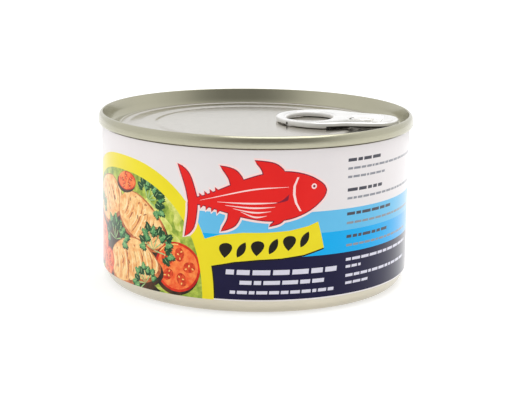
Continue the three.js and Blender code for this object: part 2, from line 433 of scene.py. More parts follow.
seam_crest = [
    (SEAM_RADIUS, 2.0, 0.5),
    (SEAM_RADIUS - 0.1, 1.2, 0.38),
    (SEAM_RADIUS - 0.32, 0.5, 0.22),
    (SEAM_RADIUS - 0.72, 0.08, 0.15),
    (SEAM_RADIUS - 1.0, 0, 0.08)]
chuck_wall = [
    (CHUCK_WALL_TOP + 0.15, 0, 0.18),
    (CHUCK_WALL_TOP - 0.58, 3.1, 0.6),
    (CHUCK_WALL_TOP - 1.05, 4.1, 0.4),
    (COUNTERSINK_RADIUS, COUNTERSINK_DEPTH, 0.3),
    (LAND_RADIUS + 0.6, COUNTERSINK_DEPTH, 0.55)]
score_line = [
    (LAND_RADIUS, LAND_DEPTH, 0.45),
    (SCORE_RADIUS + SCORE_HALF_WIDTH, LAND_DEPTH, 0.06),
    (SCORE_RADIUS, LAND_DEPTH + SCORE_DEPTH, 0.03),
    (SCORE_RADIUS - SCORE_HALF_WIDTH, LAND_DEPTH, 0.06),
    (LAND_INNER_RADIUS, LAND_DEPTH, 0.4)]
grooved_panel = [
    (OUTER_GROOVE_RADIUS, OUTER_GROOVE_DEPTH, 0.35),
    (BAND_OUTER_RADIUS, BAND_OUTER_DEPTH, 0.6),
    (BAND_INNER_RADIUS, BAND_INNER_DEPTH, 0.7),
    (INNER_GROOVE_RADIUS, INNER_GROOVE_DEPTH, 0.5),
    (PANEL_RADIUS, PANEL_DEPTH, 0.6),
    (0, PANEL_DEPTH, 0)]
lid_corners = lid_underside + seam_foot + seam_crest + chuck_wall + score_line + grooved_panel
lid_profile = eased([(radius, CAN_TOP - depth, easing) for radius, depth, easing in lid_corners], steps=8)
lid_steel = lacquered_steel(
    "lid_steel", colour(177, 174, 152), 0.22, speckle=0.4,
    panel_tone=colour(183, 177, 166), panel_edge=SILVER_EDGE, edge_blur=SILVER_BLUR)
lid = turned("easy_open_lid", lid_profile, BODY_SIDES, lid_steel)
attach(lid, "root")
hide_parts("lid")


# Rivet: a button drawn up from the lid's own sheet, through the tab's tongue, and staked flat over
# it. It stands a little off the lid's radius, as the tab does.
TAB_PLACE = (18.3, 1.3)
TAB_TURN = math.radians(-11.5)
TAB_THICKNESS = 1.4
TAB_BOTTOM = CAN_TOP - 3.0
TONGUE_TOP = 1.05
RIVET_ALONG = 11.8
STEM_RADIUS = 1.5
HEAD_RADIUS = 2.9
HEAD_THICKNESS = 0.25
RIVET_ROOT_DEPTH = 0.1
RIVET_FLARE = 0.8
RIVET_SHOULDER_FIT = 0.06
RIVET_SIDES = 64

rivet_place = (
    TAB_PLACE[0] + RIVET_ALONG * math.cos(TAB_TURN),
    TAB_PLACE[1] + RIVET_ALONG * math.sin(TAB_TURN))
root_height = CAN_TOP - PANEL_DEPTH - RIVET_ROOT_DEPTH
shoulder_height = TAB_BOTTOM - RIVET_SHOULDER_FIT
head_bottom = TAB_BOTTOM + TONGUE_TOP + FIT
dimple_height = head_bottom + HEAD_THICKNESS * 0.6
rivet_profile = eased([
    (0, root_height, 0),
    (HEAD_RADIUS + RIVET_FLARE, root_height, 0),
    (HEAD_RADIUS, shoulder_height, 0.3),
    (STEM_RADIUS, shoulder_height, 0.05),
    (STEM_RADIUS, head_bottom, 0.05),
    (HEAD_RADIUS, head_bottom, 0.12),
    (HEAD_RADIUS, head_bottom + HEAD_THICKNESS, 0.3),
    (HEAD_RADIUS * 0.55, head_bottom + HEAD_THICKNESS, 0.25),
    (HEAD_RADIUS * 0.42, dimple_height, 0.2),
    (0, dimple_height, 0)])
rivet_steel = lacquered_steel("rivet_steel", colour(246, 244, 240), 0.25)
rivet = turned("lid_rivet", rivet_profile, RIVET_SIDES, rivet_steel, rivet_place)
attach(rivet, "root")
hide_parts("lid")


# Pull tab: bright aluminium, blanked from strip and folded under all round for stiffness, so its
# edge is a soft roll and its top is dished inside that. A slot round three sides of the rivet
# leaves a tongue, which stays down when the ring is lifted.
RING_LENGTH = 12.7
RING_HALF_WIDTH = 12.4
NOSE_LENGTH = 21.5
NOSE_HALF_WIDTH = 8.0
HOLE_CENTRE = -3.3
HOLE_LENGTH = 6.4
HOLE_HALF_WIDTH = 8.0
HOLE_OFFSET = 0.35
HOLE_SQUARENESS = 2.3
TONGUE_HALF_WIDTH = 3.35
SLOT_WIDTH = 0.7
SLOT_LENGTH = 4.2
POCKET_HALF_WIDTH = 5.0
POCKET_MARGIN = 1.4
RIVET_HOLE_PLAY = 0.1
SLIT_PLACE = -8.15
SLIT_HALF_WIDTH = 0.25


def bezier(start, pull_start, pull_end, end, steps):
    """Points of a cubic curve, without its last one."""
    points = []
    for k in range(steps):
        t = k / steps
        weights = ((1 - t) ** 3, 3 * t * (1 - t) ** 2, 3 * t * t * (1 - t), t ** 3)
        corners = (start, pull_start, pull_end, end)
        points.append(sum((Vector(c) * w for c, w in zip(corners, weights)), Vector((0, 0))))
    return points


def tab_outline():
    """The tab's outer edge, anticlockwise, with u from ring to nose and v across."""
    round_off = 0.5523
    wide, nose = RING_HALF_WIDTH, NOSE_HALF_WIDTH
    near = bezier((-RING_LENGTH, 0), (-RING_LENGTH, -wide * round_off),
                  (-RING_LENGTH * 0.5, -wide), (1.2, -wide), 24)
    near += bezier((1.2, -wide), (4.0, -wide), (6.4, -nose - 1.55), (9.5, -nose - 1.1), 12)
    near += bezier((9.5, -nose - 1.1), (12, -nose - 0.75), (14, -nose - 0.4),
                   (NOSE_LENGTH - 5.5, -nose), 8)
    near += bezier((NOSE_LENGTH - 5.5, -nose), (NOSE_LENGTH - 1.7, -nose * 0.9),
                   (NOSE_LENGTH, -nose * 0.5), (NOSE_LENGTH, 0), 16)
    before = max(k for k, p in enumerate(near) if p.x < SLIT_PLACE)
    for side in (1, -1):
        last, following = near[before], near[before + 1]
        share = (SLIT_PLACE + side * SLIT_HALF_WIDTH - last.x) / (following.x - last.x)
        near.insert(before + 1, last.lerp(following, share))
    far = [Vector((p.x, -p.y)) for p in reversed(near[1:])]
    return near + [Vector((NOSE_LENGTH, 0))] + far


def power(value, exponent):
    """The value's size raised to the exponent, with the value's sign."""
    return math.copysign(abs(value) ** exponent, value)


def oval(centre, along, across, count, squareness=2):
    """An oval about (centre, 0), or a squarer one from a squareness above 2."""
    points = []
    for k in range(count):
        a = 2 * math.pi * k / count
        x, y = (power(value, 2 / squareness) for value in (math.cos(a), math.sin(a)))
        points.append(Vector((centre + along * x, across * y)))
    return points


def moved_in(loop, distance):
    """The anticlockwise loop with each point moved to its left by the distance."""
    result = []
    for i, point in enumerate(loop):
        along = (loop[(i + 1) % len(loop)] - loop[i - 1]).normalized()
        result.append(point + Vector((-along.y, along.x)) * distance)
    return result


def u_band(half_width, closed_end, open_end, count=20):
    """Half circle towards the ring with straight sides to the open end, anticlockwise."""
    angles = [math.pi / 2 + math.pi * k / count for k in range(count + 1)]
    bend = [Vector((closed_end + half_width * math.cos(a), half_width * math.sin(a))) for a in angles]
    return bend + [Vector((open_end, -half_width)), Vector((open_end, half_width))]


class TabSheet:
    """Collects the tab's walls and faces in tab coordinates, in millimetres."""

    def __init__(self):
        self.mesh = bmesh.new()

    def wall(self, loops):
        """Joins loops of equal length, each (points, height), by quads."""
        rows = [[self.mesh.verts.new((p.x, p.y, height)) for p in points] for points, height in loops]
        for low, high in zip(rows, rows[1:]):
            for i in range(len(low)):
                k = (i + 1) % len(low)
                self.mesh.faces.new((low[i], low[k], high[k], high[i]))

    def face(self, outer, holes, height):
        """Fills the outer loop, less the holes, with triangles."""
        loops = [outer] + holes
        points = [p for loop in loops for p in loop]
        firsts = np.cumsum([0] + [len(loop) for loop in loops])
        outlines = [list(range(firsts[i], firsts[i + 1])) for i in range(len(loops))]
        made = delaunay_2d_cdt(points, [], outlines, 1, 1e-6)
        verts = [self.mesh.verts.new((p.x, p.y, height)) for p in made[0]]
        for corners, inside in zip(made[2], made[5]):
            if list(inside) == [0]:
                self.mesh.faces.new([verts[c] for c in corners])


edge = tab_outline()
finger_hole = [
    p - Vector((0, HOLE_OFFSET))
    for p in oval(HOLE_CENTRE, HOLE_LENGTH, HOLE_HALF_WIDTH, 64, HOLE_SQUARENESS)]
# Each step of a rolled edge is (distance in from the edge, height)
outer_roll = [
    (1.5, 0.55), (1.3, 0.2), (1.0, 0.02), (0.6, 0), (0.34, 0.03), (0.15, 0.11), (0.04, 0.25), (0, 0.45),
    (0, 0.75), (0.01, 1.02), (0.05, 1.17), (0.14, 1.29), (0.29, 1.37), (0.5, TAB_THICKNESS),
    (0.86, TAB_THICKNESS), (1.14, 1.36), (1.4, 1.3)]
hole_roll = [
    (1.2, 0.55), (1.0, 0.2), (0.75, 0.02), (0.5, 0), (0.25, 0.1), (0.08, 0.32), (0, 0.62), (0.06, 0.96),
    (0.22, 1.2), (0.42, 1.31), (0.62, 1.32), (0.8, 1.28)]
web_height = outer_roll[-1][1]
under_height = outer_roll[0][1]
pocket_roll = [(0, web_height), (0.3, web_height - 0.05), (0.55, TONGUE_TOP + 0.2), (0.8, TONGUE_TOP)]

slot_end = RIVET_ALONG + SLOT_LENGTH
slot_outer = u_band(TONGUE_HALF_WIDTH + SLOT_WIDTH, RIVET_ALONG, slot_end)
tongue_edge = u_band(TONGUE_HALF_WIDTH, RIVET_ALONG, slot_end)
slot = slot_outer[:-2] + [slot_outer[-2], tongue_edge[-2]] + list(reversed(tongue_edge[:-2]))
slot += [tongue_edge[-1], slot_outer[-1]]
pocket = u_band(POCKET_HALF_WIDTH, RIVET_ALONG, slot_end + POCKET_MARGIN)
hole_radius = STEM_RADIUS + RIVET_HOLE_PLAY
rivet_hole = [p + Vector((RIVET_ALONG, 0)) for p in oval(0, hole_radius, hole_radius, 32)]

sheet = TabSheet()
sheet.wall([(moved_in(edge, distance), height) for distance, height in outer_roll])
sheet.wall([(moved_in(finger_hole, -distance), height) for distance, height in hole_roll])
sheet.wall([(moved_in(pocket, distance), height) for distance, height in pocket_roll])
sheet.wall([(slot, under_height), (slot, TONGUE_TOP)])
sheet.wall([(rivet_hole, under_height), (rivet_hole, TONGUE_TOP)])
sheet.face(moved_in(edge, outer_roll[-1][0]),
           [moved_in(finger_hole, -hole_roll[-1][0]), pocket], web_height)
sheet.face(moved_in(edge, outer_roll[0][0]),
           [moved_in(finger_hole, -hole_roll[0][0]), slot, rivet_hole], under_height)
sheet.face(moved_in(pocket, pocket_roll[-1][0]), [slot, rivet_hole], TONGUE_TOP)
bmesh.ops.remove_doubles(sheet.mesh, verts=sheet.mesh.verts, dist=1e-4)


def ease(value, start, stop):
    """Smoothly from 0 at the start to 1 at the stop."""
    t = min(1, max(0, (value - start) / (stop - start)))
    return t * t * (3 - 2 * t)


# The rolled edge goes a little lower than the web, and round the ring it all but rests on the
# panel. The ring's free end is lifted again, to let a fingernail in.
EDGE_DROP = 0.04
RING_DROP = 0.18
DROP_START = (-7.8, -5.6)
DROP_STOP = (2.6, 4.2)
for vert in sheet.mesh.verts:
    low = 1 - ease(vert.co.z, 0, 0.6)
    at_ring = ease(vert.co.x, *DROP_START) * (1 - ease(vert.co.x, *DROP_STOP))
    vert.co.z -= low * (EDGE_DROP + RING_DROP * at_ring)

# Faces under the nose and in the slit where the strip's ends meet get a dark, dull finish, which
# is painted shade for the gaps there; folding leaves the steep rolled faces frosted
PAINTED_SHADE_START = 3.4
SLIT_TOP = 0.8
STEEP = 0.62
PAINTED_SHADE, FROSTED = 1, 2
for face in sheet.mesh.faces:
    face.normal_update()
    middle = face.calc_center_median()
    heights = [v.co.z for v in face.verts]
    in_slit = abs(middle.x - SLIT_PLACE) < SLIT_HALF_WIDTH / 2 and middle.y < 0 and middle.z < SLIT_TOP
    under_nose = middle.x > PAINTED_SHADE_START and max(heights) <= under_height + 0.001
    if in_slit or under_nose and min(heights) < under_height - 0.1:
        face.material_index = PAINTED_SHADE
    elif abs(face.normal.z) < STEEP:
        face.material_index = FROSTED
tab_mesh = bpy.data.meshes.new("pull_tab_ring")
sheet.mesh.to_mesh(tab_mesh)
sheet.mesh.free()
tab_mesh.transform(
    Matrix.Scale(MM, 4)
    @ Matrix.Translation((TAB_PLACE[0], TAB_PLACE[1], TAB_BOTTOM))
    @ Matrix.Rotation(TAB_TURN, 4, "Z"))
outwards(tab_mesh, sharp=35)


def bright_aluminium(name, bright, dull, smoothest, roughest, metallic=1):
    """Aluminium strip with the faint lengthwise lines that rolling leaves."""
    metal, tree, shader = new_finish(name)
    set_inputs(shader, Metallic=metallic)
    place = add_node(tree, "TexCoord")
    rolled = add_node(tree, "Mapping", Rotation=(0, 0, -TAB_TURN), Scale=(60, 1500, 300))
    lines = add_noise(rolled, "Vector", 1)
    cloud = add_noise(place, "Object", 260)
    tint = add_node(tree, "ValToRGB")
    set_stops(tint, [(0.3, dull), (0.7, bright)])
    gloss = add_node(tree, "MapRange", To_Min=smoothest, To_Max=roughest)
    relief = add_node(tree, "Bump", Strength=0.08, Distance=0.01 * MM)
    wire(place, "Object", rolled, "Vector")
    wire(cloud, "Fac", tint, "Fac")
    wire(tint, "Color", shader, "Base Color")
    wire(lines, "Fac", gloss, "Value")
    wire(gloss, "Result", shader, "Roughness")
    wire(lines, "Fac", relief, "Height")
    wire(relief, "Normal", shader, "Normal")
    return metal


tab_finishes = (
    bright_aluminium("tab_aluminium", colour(250, 249, 247), colour(238, 237, 235), 0.12, 0.22),
    # the dark, dull second finish is painted shade for the gaps under the nose and in the slit
    bright_aluminium("tab_underside_painted_shade", colour(84, 82, 78), colour(62, 60, 57), 0.5, 0.7),
    bright_aluminium("tab_edge", colour(250, 249, 247), colour(240, 239, 236), 0.35, 0.5, metallic=0.35))
for tab_finish in tab_finishes:
    tab_mesh.materials.append(tab_finish)
pull_tab = add_object("pull_tab_ring", tab_mesh)
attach(pull_tab, "root")
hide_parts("pull_tab")


# Label: coated paper, printed flat with fields of colour and wrapped once round the wall, its end
# glued over its start at the back. s runs round the can to the right from the middle of the front
# and z up, both in millimetres.
LABEL_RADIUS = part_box("label")[1][0] / MM
LAP_RISE = 0.16
LABEL_BOTTOM = 3.7
LABEL_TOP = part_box("label")[1][2] / MM
PAPER_THICKNESS = 0.14
LAP = 5
STRIP_START = -math.pi * LABEL_RADIUS
STRIP_END = math.pi * LABEL_RADIUS + LAP
LAP_EASE = 14
ROUND_STEP = math.radians(2.5) * LABEL_RADIUS

layers = []


def turning(points):
    """Twice the area inside a closed outline, above zero where it runs anticlockwise."""
    return sum(a.cross(b) for a, b in zip(points, points[1:] + points[:1]))


def lay(ink, outline, inside=None):
    """Prints an outline in an ink, over what is there, or only on the layer it has to stay inside."""
    points = [Vector(p) for p in outline]
    if turning(points) < 0:
        points.reverse()
    layers.append((ink, points, inside))


def box(left, bottom, right, top):
    """A rectangle on the flat strip."""
    return [(left, bottom), (right, bottom), (right, top), (left, top)]


def arch(centre, half_width, height, squareness=2.35, count=48):
    """A window with a round top that stands on the label's lower edge."""
    points = []
    for k in range(count + 1):
        a = math.pi * k / count
        points.append((
            centre + half_width * power(math.cos(a), 2 / squareness),
            LABEL_BOTTOM - 2 + height * math.sin(a) ** (2 / squareness)))
    return points


def placed(points, centre, turn):
    """Points turned by degrees about their own origin and moved to the centre."""
    cos_turn, sin_turn = math.cos(math.radians(turn)), math.sin(math.radians(turn))
    return [(centre[0] + x * cos_turn - y * sin_turn, centre[1] + x * sin_turn + y * cos_turn)
            for x, y in points]


def blob(centre, half_width, half_height, turn=0, lobes=0, depth=0.1, count=36, seed=0):
    """A round shape with an uneven or lobed edge."""
    draw = random.Random(seed)
    waves = [(n, draw.uniform(-1, 1) * depth / n, draw.uniform(0, 6.28)) for n in (2, 3, 4, 5)]
    points = []
    for k in range(count):
        a = 2 * math.pi * k / count
        swell = 1 + sum(size * math.cos(n * a + shift) for n, size, shift in waves)
        if lobes:
            swell += depth * math.cos(lobes * a)
        points.append((half_width * swell * math.cos(a), half_height * swell * math.sin(a)))
    return placed(points, centre, turn)


lay("paper", box(STRIP_START, LABEL_BOTTOM, STRIP_END, LABEL_TOP))

# Bands of colour all round
WHITE_MARGIN = 0.35
NAVY_TOP = 15.2
MID_BLUE_TOP = 21.1
LIGHT_BLUE_TOP = 26.8
lay("light_blue", box(STRIP_START, MID_BLUE_TOP, STRIP_END, LIGHT_BLUE_TOP))
lay("mid_blue", box(STRIP_START, NAVY_TOP, STRIP_END, MID_BLUE_TOP))
lay("navy", box(STRIP_START, LABEL_BOTTOM + WHITE_MARGIN, STRIP_END, NAVY_TOP))
NAVY = len(layers) - 1

# Ribbon, of which the thin shadow comes first, because the arch covers its left end
ribbon_top = [(-13.5, 19.4), (-9, 20.9), (-3, 21.7), (3, 21.8), (9, 22.2), (14, 23.2), (16.7, 24.2)]
ribbon_end = [(17.7, 20.6), (18.5, 17.2)]
ribbon_bottom = [(13, 15.7), (7, 15.0), (1, 14.7), (-5, 14.0), (-10.3, 12.8), (-13.5, 12)]
ribbon = ribbon_top + ribbon_end + ribbon_bottom
SHADOW = 0.4
lay("black", [(s, z - SHADOW) for s, z in ribbon])

# Arched window with a yellow frame
WINDOW_CENTRE = -41
WINDOW_HALF_WIDTH = 27.6
WINDOW_HEIGHT = 32.4
FRAME_SIDE = 3.1
FRAME_TOP = 4.0
frame_half_width = WINDOW_HALF_WIDTH + FRAME_SIDE
frame_height = WINDOW_HEIGHT + FRAME_TOP
lay("black", arch(WINDOW_CENTRE, frame_half_width + SHADOW, frame_height + SHADOW), NAVY)
lay("yellow", arch(WINDOW_CENTRE, frame_half_width, frame_height))
lay("lettuce", arch(WINDOW_CENTRE, WINDOW_HALF_WIDTH, WINDOW_HEIGHT))
WINDOW = len(layers) - 1

lay("yellow", ribbon)


def drop(place, size, lean):
    """A drop of oil, point up."""
    points = []
    for k in range(24):
        a = 2 * math.pi * k / 24
        x = math.sin(a) * math.sin(a / 2) * 0.62 * size
        y = -math.cos(a) * size * 0.55
        points.append((place[0] + x + lean * y, place[1] + y))
    return points


def leaf(place, length, width, turn):
    """A pointed leaf."""
    half_edge = [
        (-length / 2 + length * k / 10, width / 2 * math.sin(math.pi * k / 10) ** 0.8)
        for k in range(11)]
    return placed(half_edge + [(x, -y) for x, y in reversed(half_edge[1:-1])], place, turn)


# Drops and leaves in turn, along the ribbon's curve
MOTIF_START = (-7.4, 16.9)
MOTIF_PITCH = 4.1
for k in range(6):
    along = MOTIF_PITCH * k
    place = (MOTIF_START[0] + along, MOTIF_START[1] + 0.055 * along + 0.004 * along ** 2)
    lay("black", leaf(place, length=4.6, width=2.0, turn=62) if k % 2 else drop(place, size=3.6, lean=0.1))

# Fish: a plain tuna outline in red, with a dark edge and a pale one
FISH_CENTRE = (-0.4, 30.6)
FISH_TILT = 5
FISH_LENGTH = 38.5
FISH_DEPTH = 12.4


def on_fish(points):
    """Points given as fractions of the length from the snout and of the half depth above the middle."""
    level = [((0.5 - along) * FISH_LENGTH, across * FISH_DEPTH / 2) for along, across in points]
    return [Vector(p) for p in placed(level, FISH_CENTRE, FISH_TILT)]


def smoothed(points, rounds=3):
    """Cuts the corners of a closed outline."""
    for _ in range(rounds):
        pairs = zip(points, points[1:] + points[:1])
        points = [q for a, b in pairs for q in (a * 0.75 + b * 0.25, a * 0.25 + b * 0.75)]
    return points


def grown(points, distance):
    """A closed outline moved outwards, whichever way round it runs."""
    return moved_in(points, -math.copysign(distance, turning(points)))


def fin(front, tip, back, sweep):
    """A swept fin: its front edge bulges to the tip and its rear edge is hollow."""
    front, tip, back = Vector(front), Vector(tip), Vector(back)
    bulge = Vector((front.x + (tip.x - front.x) * 0.3, front.y + (tip.y - front.y) * 0.75))
    hollow = Vector((back.x + (tip.x - back.x) * 0.1, back.y + (tip.y - back.y) * sweep))
    return bezier(front, bulge, bulge, tip, 8) + bezier(tip, hollow, hollow, back, 8) + [back]


body_half = [
    (0.0, 0.05), (0.02, 0.3), (0.12, 0.74), (0.26, 1.0), (0.40, 1.0), (0.56, 0.78), (0.72, 0.42),
    (0.84, 0.16), (0.93, 0.11)]
fish_parts = [smoothed(on_fish(body_half + [(x, -y) for x, y in reversed(body_half)]))]
for front, tip, back, sweep in (
        ((0.27, 0.93), (0.47, 1.55), (0.42, 0.93), 0.4),
        ((0.55, 0.74), (0.70, 1.42), (0.64, 0.56), 0.4),
        ((0.59, -0.66), (0.73, -1.28), (0.67, -0.5), 0.4),
        ((0.30, -0.94), (0.41, -1.2), (0.37, -0.96), 0.4),
        ((0.88, 0.1), (1.0, 1.55), (0.945, -0.06), 0.35),
        ((0.88, -0.1), (0.99, -1.5), (0.945, 0.06), 0.35)):
    fish_parts.append(on_fish(fin(front, tip, back, sweep)))
for k in range(4):
    along, across = 0.715 + 0.038 * k, 0.42 - 0.075 * k
    for side in (1, -1):
        fish_parts.append(on_fish([
            (along, side * (across - 0.08)), (along + 0.032, side * (across + 0.1)),
            (along + 0.03, side * (across - 0.14))]))
for ink, width in (("pale_rose", 0.8), ("wine", 0.26), ("red", 0)):
    for part in fish_parts:
        lay(ink, grown(part, width))


def stroke(start, pull, stop, width):
    """A curved line on the fish that thins out to both ends."""
    start, pull, stop = Vector(start), Vector(pull), Vector(stop)
    middle = bezier(start, pull, pull, stop, 12) + [stop]
    sides = [Vector((0, width * math.sin(math.pi * (0.06 + 0.88 * k / 12)))) for k in range(13)]
    return on_fish([p + w for p, w in zip(middle, sides)]
                   + [p - w for p, w in reversed(list(zip(middle, sides)))])


lay("pale_rose", on_fish(
    [(0.185, 0.7), (0.212, 0.36), (0.218, 0), (0.21, -0.36), (0.185, -0.72),
     (0.198, -0.72), (0.226, -0.36), (0.236, 0), (0.229, 0.36), (0.198, 0.7)]))
EYE = (0.085, 0.24)
for ink, size in (("pale_rose", 0.019), ("wine", 0.009)):
    ring = oval(EYE[0], size, size * 2 * FISH_LENGTH / FISH_DEPTH, 16)
    lay(ink, on_fish([(x, y + EYE[1]) for x, y in ring]))
lay("pale_rose", stroke((0.26, 0.34), (0.5, 0.42), (0.86, 0.02), 0.03))
for k in range(4):
    lay("pale_rose", stroke(
        (0.33 + 0.03 * k, -0.26 - 0.17 * k), (0.5, -0.22 - 0.2 * k), (0.74 - 0.05 * k, -0.06 - 0.15 * k),
        0.035))
lay("wine", on_fish(fin((0.26, 0.04), (0.47, -0.36), (0.27, -0.2), 0.3)))


# Food in the window: chunks of cooked fish, tomato slices and parsley over lettuce in the shade
def lay_food(ink, *shape, **edge):
    """Prints a blob inside the window."""
    lay(ink, blob(*shape, **edge), WINDOW)


lay_food("shade", (-42, 14), 19, 13, turn=-12, depth=0.15, seed=3)
for k in range(7):
    sway = 1.8 * math.sin(2.2 * k)
    lean = -62 + 9 * k
    lay_food("lettuce_light", (-25.5 + sway, 30.5 - 3.9 * k), 6.5, 3.0, lean, 7, 0.1, 56, 5 + k)
    lay_food("lettuce", (-26.4 + sway, 29.9 - 3.9 * k), 5.2, 1.9, lean, 6, 0.12, 48, 15 + k)


def tomato(centre, radius, squash, turn, seed):
    """A slice: skin, flesh, and five seed chambers round a pale core."""
    x, y = centre
    height = radius * squash
    lay_food("shade", (x - 0.5, y - 0.7), radius * 1.04, height * 1.04, turn, depth=0.04, seed=seed)
    lay_food("tomato_skin", centre, radius, height, turn, depth=0.04, seed=seed)
    lay_food("tomato_flesh", centre, radius * 0.9, height * 0.9, turn, depth=0.05, seed=seed)
    for k in range(5):
        a = 72 * k + 20
        chamber = (radius * 0.53 * math.cos(math.radians(a)), height * 0.53 * math.sin(math.radians(a)))
        middle = placed([chamber], centre, turn)[0]
        lay_food("tomato_pulp", middle, radius * 0.27, height * 0.21, a + turn,
                 depth=0.14, count=20, seed=seed + k)
        for m in range(3):
            fleck = placed([((m - 1) * radius * 0.14, (m % 2 - 0.5) * radius * 0.12)], middle, a + turn)[0]
            lay_food("seed", fleck, radius * 0.05, radius * 0.03, a + 60 * m, count=8, seed=m)
    shine = [(radius * 0.94 * math.cos(math.radians(q)), height * 0.94 * math.sin(math.radians(q)))
             for q in range(100, 161, 10)]
    inner_shine = [(x * 0.95, y * 0.95) for x, y in reversed(shine)]
    lay("seed", placed(shine + inner_shine, centre, turn), WINDOW)


def chunk(centre, half_width, half_height, turn, seed):
    """A piece of cooked fish: the curved lines where its flakes part, and crumbs of its rough face."""
    own = random.Random(seed)
    x, y = centre
    for ink, middle, wider, higher in (
            ("shade", (x + 0.5, y - 1.0), 1.05, 1.08), ("fish_edge", centre, 1.02, 1.04),
            ("fish_flesh", (x - 0.25, y + 0.4), 0.97, 0.93)):
        lay_food(ink, middle, half_width * wider, half_height * higher, turn, depth=0.22, seed=seed)
    for k in range(13):
        across = (k - 6) / 7 * half_width
        room = max(0.05, 1 - (across / half_width) ** 2)
        reach = half_height * math.sqrt(room) * own.uniform(0.45, 0.88)
        bow = own.uniform(0.4, 1.5)
        width = own.uniform(0.1, 0.32)
        lean = own.uniform(-0.25, 0.25)
        right_side, left_side = [], []
        for m in range(9):
            t = m / 4 - 1
            middle = across + bow * (1 - t * t) + lean * t
            left_side.append((middle - width * (1 - t * t), t * reach))
            right_side.append((middle + width * (1 - t * t), t * reach))
        outline = left_side + right_side[-2:0:-1]
        lay("fish_edge" if k % 2 else "fish_light", placed(outline, centre, turn), WINDOW)
    for k in range(34):
        a, reach = own.uniform(0, 6.28), math.sqrt(own.uniform(0, 0.72))
        crumb = (reach * half_width * math.cos(a), reach * half_height * math.sin(a))
        lay_food(
            ("fish_light", "fish_edge", "fish_flesh", "fish_char")[k % 4],
            placed([crumb], centre, turn)[0], own.uniform(0.25, 0.7), own.uniform(0.1, 0.26),
            turn + own.uniform(40, 130), depth=0.3, count=8, seed=k)


def leaflet(centre, size, turn, seed):
    """The outline of a toothed parsley leaflet with three lobes."""
    own = random.Random(seed)
    points = []
    for k in range(22):
        a = 2 * math.pi * k / 22
        tooth = 0.13 if k % 2 else -0.08
        reach = size * (0.5 + 0.34 * abs(math.cos(1.5 * a)) + tooth + own.uniform(-0.05, 0.05))
        points.append((reach * math.cos(a), reach * 0.85 * math.sin(a)))
    return placed(points, centre, turn)


def sprig(place, size, turn, seed):
    """A sprig of parsley: thin stems, each with three leaflets, the upper ones lit."""
    own = random.Random(seed)
    for k in range(5):
        a = turn + 38 * (k - 2) + own.uniform(-10, 10)
        reach = size * own.uniform(0.7, 1.05)
        tip = placed([(reach, 0)], place, a)[0]
        halfway = ((place[0] + tip[0]) / 2, (place[1] + tip[1]) / 2)
        lay("herb_light", leaf(halfway, reach, 0.34, a), WINDOW)
        for m in range(3):
            spot = placed([(size * 0.24 * (m == 1), size * 0.3 * (m - 1))], tip, a)[0]
            tone = ("herb_dark", "herb", "herb_light")[own.choice((0, 1, 1))]
            lean = a + 40 * (m - 1)
            under = (spot[0] + 0.2, spot[1] - 0.3)
            lay("herb_dark", leaflet(under, size * 0.34, lean, seed + k), WINDOW)
            lay(tone, leaflet(spot, size * 0.3, lean, seed + k), WINDOW)
            lay("herb_light", leaf(spot, size * 0.34, 0.16, lean), WINDOW)


tomato((-58.5, 12), 7.4, 0.92, 20, 11)
chunk((-50.5, 24.5), 9.2, 6.6, 24, 21)
chunk((-33.5, 21.5), 9.4, 6.6, -30, 23)
tomato((-20.8, 11.2), 6.9, 0.95, -15, 31)
chunk((-37.5, 9.6), 11.2, 6.2, 8, 27)
tomato((-51.2, 6.4), 5.2, 0.72, 48, 41)
tomato((-39.2, 31.4), 4.2, 0.6, 5, 51)
sprig((-45.5, 14.2), 5.6, 92, 61)
sprig((-28.4, 14.6), 5.0, 70, 71)
sprig((-58.2, 20.2), 4.6, 110, 81)
sprig((-31.2, 5.2), 4.2, 140, 91)
sprig((-30.2, 27.6), 4.6, 40, 95)


# Rows of plain bars, as a grey texture on the side and a bold one under the ribbon
def bars(ink, level, start, stop, height, seed):
    """A row of slanted bars of uneven length."""
    own = random.Random(seed)
    lean = height * 0.1
    at = start
    while at < stop - height:
        end = at + min(own.uniform(1.2, 4.2) * height, stop - at)
        low, high = level - height / 2, level + height / 2
        lay(ink, [(at, low), (end, low), (end + lean, high), (at + lean, high)])
        at = end + height * 0.55


for row, (level, start, stop, height) in enumerate([
        (11.3, -7.3, 22.4, 1.3), (8.6, -3.7, 19.1, 1.05), (6.0, -6.2, 21.6, 0.85)]):
    bars("print_white", level, start, stop, height, 100 + row)


BLOCK_WIDTH = 40


def bar_block(left, mirrored=False):
    """A block of rows: a bold short row and thinner long ones, several times over."""
    rows = [
        ("print_dark", 39.4, 12, 0.85), ("print_grey", 37.2, 34, 0.6), ("print_grey", 35.0, 15, 0.6),
        ("print_dark", 31.6, 13, 0.85), ("print_grey", 29.4, 33, 0.6),
        ("print_dark", 25.3, 18, 0.8), ("print_grey", 22.9, 32, 0.6),
        ("print_dark", 19.3, 16, 0.8), ("print_grey", 17.0, 30, 0.6),
        ("print_white", 13.2, 30, 0.75), ("print_white", 11.3, 6, 0.7),
        ("print_white", 8.9, 29, 0.75), ("print_white", 6.9, 8, 0.7)]
    for row, (ink, level, length, height) in enumerate(rows):
        if mirrored:
            length = BLOCK_WIDTH - length
        bars(ink, level, left, left + length, height, 200 + row + int(left))


bar_block(25.3)
bar_block(-118, mirrored=True)

